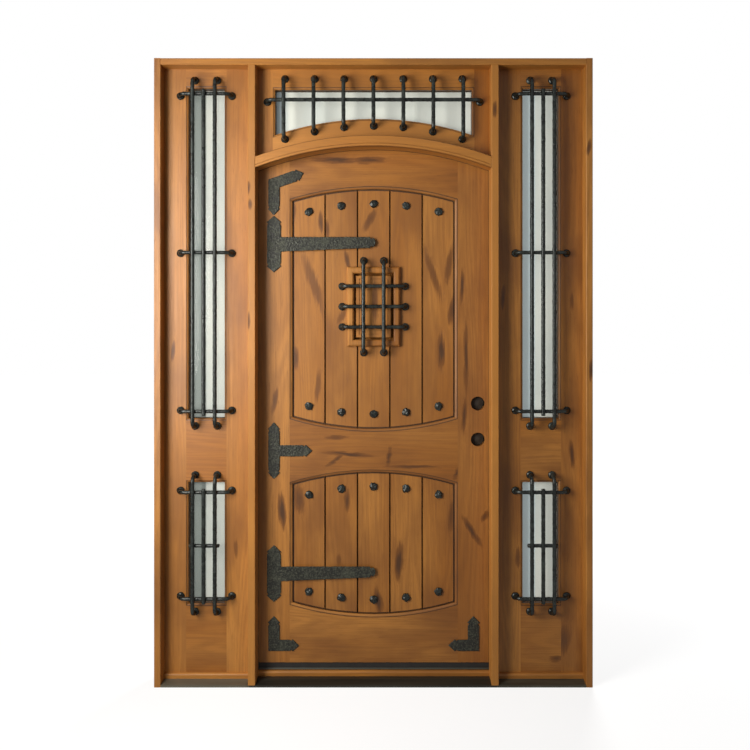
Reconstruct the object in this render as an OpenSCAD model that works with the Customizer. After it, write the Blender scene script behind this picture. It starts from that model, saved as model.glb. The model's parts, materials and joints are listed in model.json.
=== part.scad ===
// Arched entry door in its frame, with a transom and two sidelites behind iron grilles.
// Millimetres. X runs along the wall, Y from outdoors (negative) to indoors, Z up from the floor.

/* [Frame] */
// Overall height of the unit
unit_h = 2386; // [2340:1:2480]
// Depth of the frame through the wall
jamb_depth = 116; // [110:1:150]
// Thickness of the outer jambs
jamb_t = 25; // [18:1:40]
// Thickness of the head
head_t = 25; // [18:1:40]
// Thickness of the mullions beside the door
mullion_t = 28; // [24:1:45]
// Width of each sidelite bay between mullion and jamb
bay_w = 331; // [300:1:420]
// Chamfer on the outdoor edges of the frame
ease = 2; // [1:0.5:4]

/* [Sill] */
// Height of the sill's front nose
sill_nose_h = 8; // [5:1:11]
// Height of the flat part of the sill
sill_h = 14; // [12:1:18]
// Depth of the sloped front of the sill
sill_slope_d = 36; // [20:1:38]
// Height of the metal saddle under the door
saddle_h = 39; // [36:1:45]
// Height of the wooden beads on the sill
bead_h = 19; // [12:1:21]
// Depth of the wooden beads on the sill
bead_d = 13; // [8:1:16]

/* [Door leaf] */
// Width of the leaf
leaf_w = 914; // [860:1:960]
// Thickness of the leaf
leaf_t = 45; // [42:1:50]
// Height of the leaf's bottom edge above the floor
leaf_bottom = 61; // [52:1:80]
// Distance from the top of the unit down to the crown of the leaf
crown_drop = 323; // [300:1:345]
// Radius of the leaf's arched top
arch_r = 1266; // [1100:1:1600]
// Gap between the leaf and its rabbet
leaf_gap = 3; // [2.5:0.5:5]
// Width of the stop that laps the leaf
stop_lap = 12; // [8:1:14]
// Space between stop and leaf for the weatherstrip
seal_gap = 6; // [4:1:10]
// Height of the arched transom bar's face
bar_h = 40; // [34:1:50]
// Width of the stiles' flat face
stile_w = 130; // [100:1:160]
// Radius of the arched panel ends
panel_r = 1115; // [900:1:1500]
// Height of the top rail on the centre line
top_rail_h = 149; // [120:1:190]
// Bottom of the upper panel on the centre line
upper_bottom = 958; // [920:1:1000]
// Top of the lower panel on the centre line
lower_top = 811; // [770:1:840]
// Bottom of the lower panel on the centre line
lower_bottom = 235; // [200:1:270]
// Depth of the panels below the leaf's faces
panel_recess = 9; // [6:0.5:12]
// Width of the moulded edge round the panels
sticking_w = 11; // [7:0.5:15]
// Depth of the boards' groove in stiles and rails
groove_d = 8; // [5:0.5:12]
// Number of boards in each panel
board_n = 5; // [3:2:7]
// Width and depth of the V between boards
vee = 6; // [3:0.5:8]
// Width of the sunk margin round the boards
margin_w = 6; // [4:0.5:9]
// Depth of the sunk margin round the boards
margin_d = 4; // [2:0.5:6]
// Lap of neighbouring boards behind the V
board_lap = 6; // [4:0.5:9]
// Open joint between neighbouring boards
board_gap = 0.6; // [0.4:0.1:0.9]
// Clearance of the sweep over the saddle
sweep_gap = 1; // [0.5:0.5:3]

/* [Lock bores] */
// Diameter of the face bores
bore_d = 54; // [40:1:58]
// Diameter of the latch bores in the leaf's edge
latch_d = 25.4; // [20:0.1:27]
// Distance of the face bores from the leaf's edge
backset = 52; // [45:1:70]
// Height of the lower bore
lower_bore_z = 928; // [900:1:1000]
// Distance between the bores
bore_pitch = 140; // [120:1:160]

/* [Straps] */
// Thickness of the strap plates
strap_t = 4; // [3:0.5:6]
// Radius of the nicks beside the strap tips
nick_r = 4.5; // [2:0.5:5]
// Length of the arrow tips
strap_tip = 26; // [20:1:32]
// Flare of the arrow tips beyond the plates' sides
tip_flare = 2; // [0.5:0.5:4]
// Distance of the plates' middle from the leaf's hinge edge
strap_inset = 69; // [60:1:80]
// Width of the upright plates of the long straps
tee_w = 54; // [46:1:62]
// Height of the upright plates
tee_h = 221; // [190:1:250]
// Distance of the upper plate's middle below the crown of the upper panel
tee_drop = 226; // [200:1:260]
// Height of the lower plate's middle above the foot of the lower panel
tee_rise = 172; // [150:1:200]
// Length of the long arms from the plates' middle
arm_l = 395; // [300:1:440]
// Width of the long arms at the plate
arm_root = 58; // [48:1:68]
// Width of the long arms at the tip
arm_end = 42; // [34:1:46]
// Distance of the long arms' upper edge below the plates' upper tip
arm_drop = 83; // [60:1:100]
// Clearance between a long arm and the speakeasy
strap_clear = 12; // [6:1:20]
// Length of the short arm on the lock rail
short_arm_l = 149; // [120:1:180]
// Width of the corner plates and of the short strap
corner_w = 44; // [36:1:50]
// Length of the bottom corner plates along the leaf's foot
corner_l = 120; // [100:1:150]
// Height of the bottom corner plates
corner_h = 136; // [110:1:160]
// Height of the bottom corner plates above the leaf's foot
corner_rise = 45; // [30:1:60]
// Height of the top corner plate at its outer corner
top_corner_h = 140; // [115:1:160]
// Length of the top corner plate's sloped arm
top_corner_l = 138; // [110:1:160]
// Slope of the top corner plate's arm
top_corner_slope = 19.5; // [14:0.5:24]

/* [Iron] */
// Diameter of the clavos
clavo_d = 32; // [20:1:40]
// Height of the clavos
clavo_h = 11; // [6:1:14]
// Distance of the clavos inside the panel's edge
clavo_inset = 68; // [50:1:90]
// Diameter of the grille bars
bar_d = 15.5; // [11:0.5:17]
// Diameter of the grilles' cross bars
cross_d = 14.5; // [10:0.5:15]
// Distance from wood to the middle of the upright bars
bar_stand = 42; // [40:1:43]
// Radius of the bend at each bar end
bend_r = 24; // [20:1:27]
// Step between upright bars and cross bars
bar_step = 10; // [7:0.5:12]
// Diameter of the flattened bar ends
disc_d = 31; // [24:1:36]
// Thickness of the flattened bar ends
disc_t = 8; // [4:0.5:8]

/* [Sidelites and transom] */
// Setback of the fixed panels from the frame's front
side_setback = 51; // [48:1:62]
// Thickness of the fixed panels
side_t = 45; // [40:1:46]
// Width of the sidelites' glass opening
lite_w = 138; // [110:1:150]
// Width of the sidelites' stile beside the door
inner_stile_w = 101; // [80:1:110]
// Distance from the top of the unit down to the sidelites' upper glass
lite_top_drop = 99; // [86:1:130]
// Bottom of the sidelites' upper glass
upper_lite_bottom = 1014; // [980:1:1040]
// Top of the sidelites' lower glass
lower_lite_top = 765; // [740:1:790]
// Bottom of the sidelites' lower glass
lower_lite_bottom = 298; // [260:1:330]
// Width of the moulded edge round the glass
lite_edge_w = 9; // [6:0.5:12]
// Depth of the moulded edge round the glass
lite_edge_d = 9; // [6:0.5:11]
// Distance from the panel's face to the glass
glass_setback = 20; // [12:0.5:22]
// Thickness of the sealed glass units
glass_t = 12; // [6:0.5:14]
// Depth of the glass in its rabbet
rabbet_d = 10; // [7:0.5:13]
// Width of the transom's stiles
transom_stile_w = 68; // [60:1:95]
// Distance from the top of the unit down to the transom's glass
transom_top_drop = 103; // [92:1:120]
// Rise of the transom's lower edge above the leaf's crown
transom_rise = 109; // [95:1:120]
// Radius of the transom's lower edge
transom_r = 1195; // [1100:1:1300]
// Distance between the sidelite grilles' upright bars
lite_bar_pitch = 42.5; // [36:0.5:46]
// Distance of the transom's cross bar below the top of the glass
transom_bar_drop = 49; // [40:1:58]
// Distance of the bar ends outside the glass opening
disc_out = 30; // [26:0.5:34]
// Distance of the outer cross bars inside the glass opening
bar_in = 30; // [24:1:40]

/* [Speakeasy] */
// Width of the speakeasy's opening
peep_w = 152; // [120:1:170]
// Height of the speakeasy's opening
peep_h = 256; // [220:2:290]
// Width of the speakeasy's casing
casing_w = 27; // [24:1:34]
// Height of the casing above the boards outdoors
casing_rise = 18; // [14:1:22]
// Width of the ledge that the small door closes against
ledge_w = 8; // [6:0.5:9]
// Thickness of the small door
peep_door_t = 21.5; // [18:0.5:24]
// Rise of the small door's field towards the outdoor side
field_rise = 24; // [16:1:25]
// Space between the field and the opening
field_gap = 7; // [7:0.5:12]
// Width of the border round the field's groove
field_border = 12; // [8:1:20]
// Width and depth of the groove round the field
field_groove = 3; // [2:0.5:5]
// Gap round the small door
peep_gap = 3; // [2.8:0.1:4]
// Distance between the speakeasy grille's upright bars
peep_bar_pitch = 78; // [60:1:90]
// Distance between the speakeasy grille's cross bars
peep_cross_pitch = 79; // [60:1:85]

/* [Hinges] */
// Height of the door hinges
hinge_h = 102; // [80:1:120]
// Radius of the door hinges' barrels
barrel_r = 6.5; // [6:0.5:8]
// Radius of the door hinges' pins
pin_r = 3.5; // [2.5:0.5:4]
// Thickness of the door hinges' leaves
hinge_leaf_t = 2.5; // [2:0.5:3]
// Width of the door hinges' leaves in the wood
hinge_leaf_w = 36; // [28:1:38]
// Distance of the lowest hinge above the leaf's foot
hinge_foot = 280; // [200:1:320]
// Distance of the top hinge's lower end below the crown of the leaf
hinge_crown = 370; // [300:1:420]
// Height of the speakeasy's hinges
peep_hinge_h = 50; // [40:1:60]
// Distance of the speakeasy's hinges from the ends of its opening
peep_hinge_in = 25; // [15:1:35]
// Radial running clearance of every hinge pin
pin_play = 0.05; // [0.03:0.01:0.08]

/* [Hidden] */

$fn = 48;
arc_fn = 256;
over = 1;

wood_frame = "#c08a52";
wood_leaf = "#b27844";
iron = "#3c403b";
strap_iron = "#4c524a";
bronze = "#3a342b";
rubber = "#1d1b19";
pane = "#d8dee0";
hinge_metal = "#55504a";

// Frame planes and widths, worked out from the leaf outwards
front_y = -jamb_depth / 2;
back_y = jamb_depth / 2;
leaf_y1 = back_y;
leaf_y0 = leaf_y1 - leaf_t;
stop_y = leaf_y0 - seal_gap;
leaf_half = leaf_w / 2;
rabbet_x = leaf_half + leaf_gap;
door_half = rabbet_x - stop_lap;
mullion_x = door_half + mullion_t;
jamb_x = mullion_x + bay_w;
unit_half = jamb_x + jamb_t;
head_z = unit_h - head_t;

// Heights that follow the top of the unit
leaf_top = unit_h - crown_drop;
upper_top = leaf_top - top_rail_h;
upper_lite_top = unit_h - lite_top_drop;
transom_top = unit_h - transom_top_drop;
transom_crown = leaf_top + transom_rise;
transom_bar_z = transom_top - transom_bar_drop;

// Arch of the leaf, its rabbet and the transom bar, all on one centre
arch_z = leaf_top - arch_r;
rabbet_r = arch_r + leaf_gap;
soffit_r = rabbet_r - stop_lap;
bar_r_top = soffit_r + bar_h;

// Leaf panels
lip_half = leaf_half - stile_w - sticking_w;
lip_r = panel_r - sticking_w;
sticking_step = 1.5;
sticking_lip = 1.5;
ovolo_steps = 4;
board_y0 = leaf_y0 + panel_recess;
board_y1 = leaf_y1 - panel_recess;
board_pitch = 2 * lip_half / board_n;
board_play = 1;

// Fixed panels
side_y0 = front_y + side_setback;
side_y1 = side_y0 + side_t;
glass_y0 = side_y0 + glass_setback;
glass_y1 = glass_y0 + glass_t;
glass_play = 1;
lite_x0 = mullion_x + inner_stile_w;
lite_x1 = lite_x0 + lite_w;
lite_mid = (lite_x0 + lite_x1) / 2;
transom_z = transom_crown - transom_r;
transom_half = door_half - transom_stile_w;
transom_bar_pitch = tenth(0.3 * transom_half);

// Speakeasy
peep_half = peep_w / 2;
peep_mid = tenth(upper_bottom + 0.5094 * (upper_top - upper_bottom));
peep_bottom = peep_mid - peep_h / 2;
peep_top = peep_mid + peep_h / 2;
peep_y1 = leaf_y1;
peep_y0 = peep_y1 - peep_door_t;
peep_seat = 0.5;
ledge_y = peep_y0 - peep_seat;
liner_w = ledge_w + 6;
casing_y0 = board_y0 - casing_rise;
peep_out = casing_w + 20;
pocket_half = peep_half + ledge_w;
peep_door_half = pocket_half - peep_gap;

// Grille bars
bar_r = bar_d / 2;
cross_r = cross_d / 2;

// Mirrors what is drawn for the right-hand side to the left
module on_left() {
    mirror([1, 0, 0]) children();
}

// Solid between two Y planes over an outline in X and Z
module y_prism(y0, y1, outline) {
    translate([0, y1, 0]) rotate([90, 0, 0]) linear_extrude(y1 - y0) polygon(outline);
}

// Solid between two X planes over an outline in Y and Z
module x_prism(x0, x1, outline) {
    translate([x0, 0, 0]) rotate([90, 0, 90]) linear_extrude(x1 - x0) polygon(outline);
}

// Solid of revolution about a Y axis at height z, from points of radius and Y
module y_revolve(z, profile) {
    translate([0, 0, z]) rotate([-90, 0, 0]) rotate_extrude($fn = arc_fn) polygon(profile);
}

// Disc about a Y axis at height z
module y_disc(z, r, y0, y1) {
    translate([0, y0, z]) rotate([-90, 0, 0]) cylinder(r = r, h = y1 - y0, $fn = arc_fn);
}

// Box from two corners
module span(lo, hi) {
    translate(lo) cube(hi - lo);
}

function reverse(v) = [for (i = [len(v) - 1:-1:0]) v[i]];

// Height of an upward arc at x, and of a downward one
function arc_up(crown, r, x) = crown - r + sqrt(r * r - x * x);
function arc_down(crown, r, x) = crown + r - sqrt(r * r - x * x);

// Moulded edge: offset from the lip against depth below the face
function ovolo(w, d) = [
    for (i = [0:ovolo_steps])
    let (a = 90 * i / ovolo_steps)
    [w * (1 - sin(a)), sticking_step + (d - sticking_step) * (1 - cos(a))]
];

// The same edge cut into a face at y, from outdoors or from indoors
function front_edge(y, w, d) = concat([[w, y - over]], [for (p = ovolo(w, d)) [p[0], y + p[1]]]);
function back_edge(y, w, d) = reverse(concat([[w, y + over]], [for (p = ovolo(w, d)) [p[0], y - p[1]]]));

// Offsets through the leaf: moulded edge, groove for the boards, moulded edge
leaf_profile = concat(
    front_edge(leaf_y0, sticking_w, panel_recess - sticking_lip),
    [[0, board_y0], [groove_d, board_y0], [groove_d, board_y1], [0, board_y1]],
    back_edge(leaf_y1, sticking_w, panel_recess - sticking_lip)
);

// Offsets through a fixed panel: moulded edge outdoors, glass rabbet open to indoors
lite_profile = concat(
    front_edge(side_y0, lite_edge_w, lite_edge_d),
    [[0, glass_y0], [rabbet_d, glass_y0], [rabbet_d, side_y1 + over]]
);

// Prism along Z whose two sides follow a profile of offsets
module z_sides(x0, x1, z0, z1, profile) {
    left = [for (p = profile) [x0 - p[0], p[1]]];
    right = [for (p = profile) [x1 + p[0], p[1]]];
    translate([0, 0, z0]) linear_extrude(z1 - z0) polygon(concat(right, reverse(left)));
}

// Prism along X whose top and bottom follow a profile of offsets
module x_sides(x0, x1, z0, z1, profile) {
    low = [for (p = profile) [p[1], z0 - p[0]]];
    high = [for (p = profile) [p[1], z1 + p[0]]];
    x_prism(x0, x1, concat(high, reverse(low)));
}

// Mitred rectangular opening or frame whose edges follow a profile of offsets
module rect_form(x0, x1, z0, z1, profile) {
    reach = max([for (p = profile) p[0]]) + over;
    intersection() {
        z_sides(x0, x1, z0 - reach, z1 + reach, profile);
        x_sides(x0 - reach, x1 + reach, z0, z1, profile);
    }
}

// Disc whose rim follows a profile of offsets
module disc_form(z, r, profile) {
    ends = [[0, profile[len(profile) - 1][1]], [0, profile[0][1]]];
    y_revolve(z, concat([for (p = profile) [r + p[0], p[1]]], ends));
}

// Arch-ended opening of a leaf panel: straight sides, crowned top, sagging bottom
module panel_form(bottom, top, profile) {
    intersection() {
        z_sides(-lip_half, lip_half, bottom - panel_r, top + panel_r, profile);
        disc_form(top - panel_r, lip_r, profile);
        disc_form(bottom + panel_r, lip_r, profile);
    }
}

module panel_cuts() {
    panel_form(upper_bottom, upper_top, leaf_profile);
    panel_form(lower_bottom, lower_top, leaf_profile);
}

// Outline of a rail that meets its stiles in small mitres at the moulded edge.
// Each end gives the height at the lip and at the face.
function rail_outline(x0, x1, w, low, high) = [
    [x0 - w, low[1]], [x0, low[0]], [x1, low[0]], [x1 + w, low[1]],
    [x1 + w, high[1]], [x1, high[0]], [x0, high[0]], [x0 - w, high[1]]
];

// Frame

module jamb() {
    outline = [
        [jamb_x, front_y + ease], [jamb_x + ease, front_y], [unit_half - ease, front_y],
        [unit_half, front_y + ease], [unit_half, back_y], [jamb_x, back_y]
    ];
    color(wood_frame) linear_extrude(unit_h) polygon(outline);
}

module right_jamb() {
    jamb();
}

module left_jamb() {
    on_left() jamb();
}

// Sill section without the saddle
sill_section = [
    [front_y, 0], [back_y, 0], [back_y, sill_h], [front_y + sill_slope_d, sill_h], [front_y, sill_nose_h]
];

module mullion() {
    outline = [
        [door_half, front_y + ease], [door_half + ease, front_y], [mullion_x - ease, front_y],
        [mullion_x, front_y + ease], [mullion_x, back_y], [door_half, back_y]
    ];
    difference() {
        linear_extrude(head_z) polygon(outline);
        x_prism(door_half - over, mullion_x + over, [
            [front_y - over, -over], [back_y + over, -over], [back_y + over, sill_h],
            [front_y + sill_slope_d, sill_h], [front_y, sill_nose_h], [front_y - over, sill_nose_h]
        ]);
        intersection() {
            span([door_half - over, stop_y, 0], [rabbet_x, back_y + over, unit_h]);
            y_disc(arch_z, bar_r_top, stop_y, back_y + over);
        }
    }
}

module right_mullion() {
    color(wood_frame) mullion();
}

module left_mullion() {
    color(wood_frame) difference() {
        on_left() mullion();
        hinge_plates(-rabbet_x - hinge_leaf_t, -rabbet_x + over, leaf_y1 + over);
    }
}

module head_jamb() {
    color(wood_frame) x_prism(-jamb_x, jamb_x, [
        [front_y, head_z + ease], [front_y + ease, head_z], [back_y, head_z],
        [back_y, unit_h], [front_y + ease, unit_h], [front_y, unit_h - ease]
    ]);
}

module arched_transom_bar() {
    bead_w = 8;
    quirk = 3;
    quirk_r = soffit_r + bead_w;
    front_section = [
        [soffit_r, stop_y], [soffit_r, front_y + ease], [soffit_r + ease, front_y],
        [quirk_r, front_y], [quirk_r, front_y + quirk], [quirk_r + quirk, front_y + quirk],
        [quirk_r + quirk, front_y], [bar_r_top - ease, front_y], [bar_r_top, front_y + ease],
        [bar_r_top, stop_y]
    ];
    rear_section = [
        [rabbet_r, stop_y], [bar_r_top, stop_y], [bar_r_top, back_y], [rabbet_r, back_y]
    ];
    color(wood_frame) union() {
        intersection() {
            y_revolve(arch_z, front_section);
            span([-door_half, front_y - over, arch_z], [door_half, stop_y + over, unit_h]);
        }
        intersection() {
            y_revolve(arch_z, rear_section);
            span([-rabbet_x, stop_y - over, arch_z], [rabbet_x, back_y + over, unit_h]);
        }
    }
}

// Sill

saddle_y = leaf_y0 - 1;

module sill() {
    lip = 3;
    color(bronze) union() {
        x_prism(-jamb_x, jamb_x, sill_section);
        x_prism(-rabbet_x, rabbet_x, [
            [saddle_y, sill_h - over], [back_y - over, sill_h - over], [back_y - over, saddle_h - lip],
            [back_y - over - lip, saddle_h], [saddle_y + lip, saddle_h], [saddle_y, saddle_h - lip]
        ]);
    }
}

module sill_bead(x0, x1, y1) {
    round_r = bead_d * 0.6;
    x_prism(x0, x1, concat(
        [[y1 - bead_d, sill_h], [y1, sill_h], [y1, sill_h + bead_h]],
        [
            for (i = [0:6])
            let (a = 90 + 15 * i)
            [
                y1 - bead_d + round_r + round_r * cos(a),
                sill_h + bead_h - round_r + round_r * sin(a)
            ]
        ]
    ));
}

module sill_beads() {
    color(wood_frame) {
        sill_bead(-door_half, door_half, saddle_y);
        sill_bead(mullion_x, jamb_x, side_y0);
        sill_bead(-jamb_x, -mullion_x, side_y0);
    }
}

module door_weatherstrip() {
    touch = 0.3;
    y1 = leaf_y0 - touch;
    strip_w = stop_lap - leaf_gap;
    color(rubber) {
        for (s = [-1, 1]) {
            intersection() {
                span(
                    [min(s * door_half, s * (door_half + strip_w)), stop_y, saddle_h],
                    [max(s * door_half, s * (door_half + strip_w)), y1, unit_h]
                );
                y_disc(arch_z, soffit_r, stop_y, y1);
            }
        }
        intersection() {
            difference() {
                y_disc(arch_z, soffit_r + strip_w, stop_y, y1);
                y_disc(arch_z, soffit_r, stop_y - over, y1 + over);
            }
            span([-door_half - strip_w, stop_y, arch_z], [door_half + strip_w, y1, unit_h]);
        }
    }
}

// Transom

// Glass opening of the transom, grown all round by a profile of offsets
module transom_form(profile) {
    inward = [for (p = profile) [-p[0], p[1]]];
    difference() {
        rect_form(-transom_half, transom_half, arch_z, transom_top, profile);
        disc_form(transom_z, transom_r, inward);
    }
}

transom_lip_z = arc_up(transom_crown, transom_r, transom_half);
transom_face_z = arc_up(
    transom_crown - lite_edge_w, transom_r - lite_edge_w, transom_half + lite_edge_w
);
transom_mid = (transom_crown + transom_top) / 2;

module transom_top_zone() {
    y_prism(side_y0 - over, side_y1 + over, rail_outline(
        -transom_half, transom_half, lite_edge_w,
        [transom_top, transom_top + lite_edge_w], [head_z, head_z]
    ));
}

module transom_arch_zone() {
    w = lite_edge_w;
    y_prism(side_y0 - over, side_y1 + over, [
        [-transom_half - w, arch_z], [transom_half + w, arch_z],
        [transom_half + w, transom_face_z], [transom_half, transom_lip_z],
        [transom_half - w, transom_lip_z + w], [transom_half - w, transom_mid],
        [w - transom_half, transom_mid], [w - transom_half, transom_lip_z + w],
        [-transom_half, transom_lip_z], [-transom_half - w, transom_face_z]
    ]);
}

module transom_blank() {
    difference() {
        span([-door_half, side_y0, arch_z], [door_half, side_y1, head_z]);
        y_disc(arch_z, bar_r_top, side_y0 - over, side_y1 + over);
        transom_form(lite_profile);
    }
}

module transom_top_rail() {
    color(wood_frame) intersection() {
        transom_blank();
        transom_top_zone();
    }
}

module transom_arched_rail() {
    color(wood_frame) intersection() {
        transom_blank();
        transom_arch_zone();
    }
}

module transom_stile() {
    difference() {
        intersection() {
            transom_blank();
            span([transom_half - over, side_y0, arch_z], [door_half, side_y1, head_z]);
        }
        transom_top_zone();
        transom_arch_zone();
    }
}

module transom_right_stile() {
    color(wood_frame) transom_stile();
}

module transom_left_stile() {
    color(wood_frame) on_left() transom_stile();
}

// Pane and bead share the opening's outline, grown to the rabbet
pane_profile = [[rabbet_d - glass_play, glass_y0], [rabbet_d - glass_play, glass_y1]];
bead_out = [[rabbet_d, glass_y1], [rabbet_d, side_y1]];
bead_hole = reverse([
    [rabbet_d * 0.5, side_y1 + over], [rabbet_d * 0.3, side_y1], [0, glass_y1 + 4],
    [0, glass_y1 - over]
]);

module transom_glass() {
    color(pane, 0.5) transom_form(pane_profile);
}

// Sidelites, drawn on the right-hand side

module side_rail_zone(low, high) {
    y_prism(
        side_y0 - over, side_y1 + over, rail_outline(lite_x0, lite_x1, lite_edge_w, low, high)
    );
}

module side_zone(name) {
    w = lite_edge_w;
    if (name == "top")
        side_rail_zone([upper_lite_top, upper_lite_top + w], [head_z, head_z]);
    if (name == "middle")
        side_rail_zone(
            [lower_lite_top, lower_lite_top + w], [upper_lite_bottom, upper_lite_bottom - w]
        );
    if (name == "bottom")
        side_rail_zone([sill_h, sill_h], [lower_lite_bottom, lower_lite_bottom - w]);
}

module side_cuts() {
    rect_form(lite_x0, lite_x1, upper_lite_bottom, upper_lite_top, lite_profile);
    rect_form(lite_x0, lite_x1, lower_lite_bottom, lower_lite_top, lite_profile);
}

module side_stile(x0, x1) {
    color(wood_frame) difference() {
        span([x0, side_y0, sill_h], [x1, side_y1, head_z]);
        side_cuts();
        side_zone("top");
        side_zone("middle");
        side_zone("bottom");
    }
}

module side_rail(name) {
    color(wood_frame) difference() {
        intersection() {
            span([mullion_x, side_y0, sill_h], [jamb_x, side_y1, head_z]);
            side_zone(name);
        }
        side_cuts();
    }
}

module side_glass(bottom, top) {
    color(pane, 0.5) rect_form(lite_x0, lite_x1, bottom, top, pane_profile);
}

module right_outer_stile() {
    side_stile(lite_x1, jamb_x);
}

module left_outer_stile() {
    on_left() side_stile(lite_x1, jamb_x);
}

module right_inner_stile() {
    side_stile(mullion_x, lite_x0);
}

module left_inner_stile() {
    on_left() side_stile(mullion_x, lite_x0);
}

module right_top_rail() {
    side_rail("top");
}

module left_top_rail() {
    on_left() side_rail("top");
}

module right_middle_rail() {
    side_rail("middle");
}

module left_middle_rail() {
    on_left() side_rail("middle");
}

module right_bottom_rail() {
    side_rail("bottom");
}

module left_bottom_rail() {
    on_left() side_rail("bottom");
}

module right_upper_glass() {
    side_glass(upper_lite_bottom, upper_lite_top);
}

module left_upper_glass() {
    on_left() side_glass(upper_lite_bottom, upper_lite_top);
}

module right_lower_glass() {
    side_glass(lower_lite_bottom, lower_lite_top);
}

module left_lower_glass() {
    on_left() side_glass(lower_lite_bottom, lower_lite_top);
}

// Beads that hold the glass from indoors, one ring for each pane
module side_bead(bottom, top) {
    difference() {
        rect_form(lite_x0, lite_x1, bottom, top, bead_out);
        rect_form(lite_x0, lite_x1, bottom, top, bead_hole);
    }
}

module side_beads() {
    side_bead(upper_lite_bottom, upper_lite_top);
    side_bead(lower_lite_bottom, lower_lite_top);
}

module glazing_beads() {
    color(wood_frame) {
        side_beads();
        on_left() side_beads();
        difference() {
            transom_form(bead_out);
            transom_form(bead_hole);
        }
    }
}

// Grilles. The wood's face is y = 0 and the bars stand in front of it.

// Value rounded to a tenth, so that bar ends meet exactly
function tenth(v) = round(v * 10) / 10;

// Bar end drawn along +X from the end of the straight bar, bending back to the wood
module bar_end(stand, r) {
    translate([0, bend_r, 0]) rotate([0, 0, -90]) rotate_extrude(angle = 90)
        translate([bend_r, 0]) circle(r = r);
    translate([bend_r, bend_r, 0]) rotate([-90, 0, 0])
        cylinder(r = r, h = stand - bend_r - disc_t / 2);
    translate([bend_r, stand, 0]) rotate([90, 0, 0]) rotate_extrude() polygon([
        [0, 0], [disc_d / 2, 0], [disc_d / 2, disc_t * 0.3], [disc_d * 0.45, disc_t * 0.66],
        [disc_d * 0.36, disc_t * 0.9], [disc_d * 0.26, disc_t], [0, disc_t]
    ]);
}

// Upright bar with a flattened end at each height
module upright(x, z0, z1) {
    translate([x, -bar_stand, z0 + bend_r]) cylinder(r = bar_r, h = z1 - z0 - 2 * bend_r);
    translate([x, -bar_stand, z1 - bend_r]) rotate([0, -90, 0]) bar_end(bar_stand, bar_r);
    translate([x, -bar_stand, z0 + bend_r]) rotate([0, 90, 0]) bar_end(bar_stand, bar_r);
}

// Cross bar with a flattened end at each side
module cross_bar(z, x0, x1) {
    translate([x0 + bend_r, -cross_stand, z]) rotate([0, 90, 0])
        cylinder(r = cross_r, h = x1 - x0 - 2 * bend_r);
    translate([x1 - bend_r, -cross_stand, z]) bar_end(cross_stand, cross_r);
    translate([x0 + bend_r, -cross_stand, z]) rotate([0, 180, 0]) bar_end(cross_stand, cross_r);
}

cross_stand = bar_stand - bar_step;

// Three uprights and three cross bars over one sidelite pane, centred on x = 0.
// A short middle cross bar only joins the uprights.
module lite_grille(bottom, top, long_middle) {
    out = lite_w / 2 + disc_out;
    middle = (top + bottom) / 2;
    tail = lite_bar_pitch + bar_d;
    color(iron) union() {
        for (s = [-1, 1]) {
            upright(s * lite_bar_pitch, bottom - disc_out, top + disc_out);
        }
        translate([0, -bar_stand, bottom + bar_in - bar_d])
            cylinder(r = bar_r, h = top - bottom - 2 * bar_in + 2 * bar_d);
        cross_bar(bottom + bar_in, -out, out);
        cross_bar(top - bar_in, -out, out);
        if (long_middle) {
            cross_bar(middle, -out, out);
        } else {
            translate([-tail, -cross_stand, middle]) rotate([0, 90, 0])
                cylinder(r = cross_r, h = 2 * tail);
        }
    }
}

module right_upper_grille() {
    translate([lite_mid, side_y0, 0]) lite_grille(upper_lite_bottom, upper_lite_top, true);
}

module left_upper_grille() {
    on_left() right_upper_grille();
}

module right_lower_grille() {
    translate([lite_mid, side_y0, 0]) lite_grille(lower_lite_bottom, lower_lite_top, false);
}

module left_lower_grille() {
    on_left() right_lower_grille();
}

module transom_grille() {
    top = transom_top + disc_out + 10;
    color(iron) translate([0, side_y0, 0]) union() {
        for (i = [-3:3]) {
            x = i * transom_bar_pitch;
            low = tenth(arc_up(transom_crown - disc_out, transom_r - disc_out, x));
            upright(x, low, top);
        }
        cross_bar(transom_bar_z, -transom_half - disc_out, transom_half + disc_out);
    }
}

// Door leaf

module leaf_blank(x0, x1) {
    intersection() {
        span([x0, leaf_y0, leaf_bottom], [x1, leaf_y1, unit_h]);
        y_disc(arch_z, arch_r, leaf_y0, leaf_y1);
    }
}

face_half = lip_half + sticking_w;

// Height of a panel's corners at the lip
function top_corner(top) = arc_up(top - sticking_w, lip_r, lip_half);
function bottom_corner(bottom) = arc_down(bottom + sticking_w, lip_r, lip_half);

// Rails keep the corners of the moulded edge, and the stiles butt to them just past each corner
corner_lap = 2;

module leaf_zone(z0, z1) {
    span([-face_half, leaf_y0 - over, z0], [face_half, leaf_y1 + over, z1]);
}

module top_rail_zone() {
    leaf_zone(top_corner(upper_top) - corner_lap, leaf_top + over);
}

module lock_rail_zone() {
    leaf_zone(top_corner(lower_top) - corner_lap, bottom_corner(upper_bottom) + corner_lap);
}

module bottom_rail_zone() {
    leaf_zone(leaf_bottom - over, bottom_corner(lower_bottom) + corner_lap);
}

module leaf_stile() {
    difference() {
        leaf_blank(lip_half - 5 * over, leaf_half);
        panel_cuts();
        top_rail_zone();
        lock_rail_zone();
        bottom_rail_zone();
    }
}

// Face bores for the lock and deadbolt, with the latch bores from the leaf's edge
module lock_bores() {
    x = leaf_half - backset;
    mid_y = (leaf_y0 + leaf_y1) / 2;
    for (z = [lower_bore_z, lower_bore_z + bore_pitch]) {
        translate([x, leaf_y0 - over, z]) rotate([-90, 0, 0])
            cylinder(d = bore_d, h = leaf_t + 2 * over);
        translate([x, mid_y, z]) rotate([0, 90, 0]) cylinder(d = latch_d, h = backset + over);
    }
}

module hinge_stile() {
    color(wood_leaf) difference() {
        on_left() leaf_stile();
        hinge_plates(-leaf_half - over, -leaf_half + hinge_leaf_t, leaf_y1 + over);
    }
}

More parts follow.
